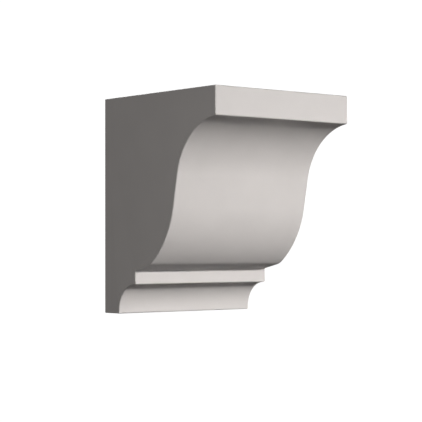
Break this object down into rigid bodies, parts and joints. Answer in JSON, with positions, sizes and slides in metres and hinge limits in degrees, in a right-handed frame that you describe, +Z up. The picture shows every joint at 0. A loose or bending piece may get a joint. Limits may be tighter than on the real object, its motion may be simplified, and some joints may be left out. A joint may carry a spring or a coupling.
{
  "type": "corbel",
  "caption": "Plain moulded wall corbel: square-edged top, ogee face, flat band and a small cove at the foot, with flat ends, top and back.",
  "frame": {"origin": "the middle of the flat back face, where the corbel meets the wall", "axes": "+X along the wall, to the right as one faces the corbel's front; +Y into the wall, so the front faces -Y; +Z up"},
  "size_m": [0.2, 0.206, 0.254],
  "materials": {
    "primed_moulding": "smooth warm-white primer, matte, sprayed thinly over a moulded rigid foam body"
  },
  "bodies": {
    "root": {"corbel": "primed_moulding"}
  },
  "joints": []
}
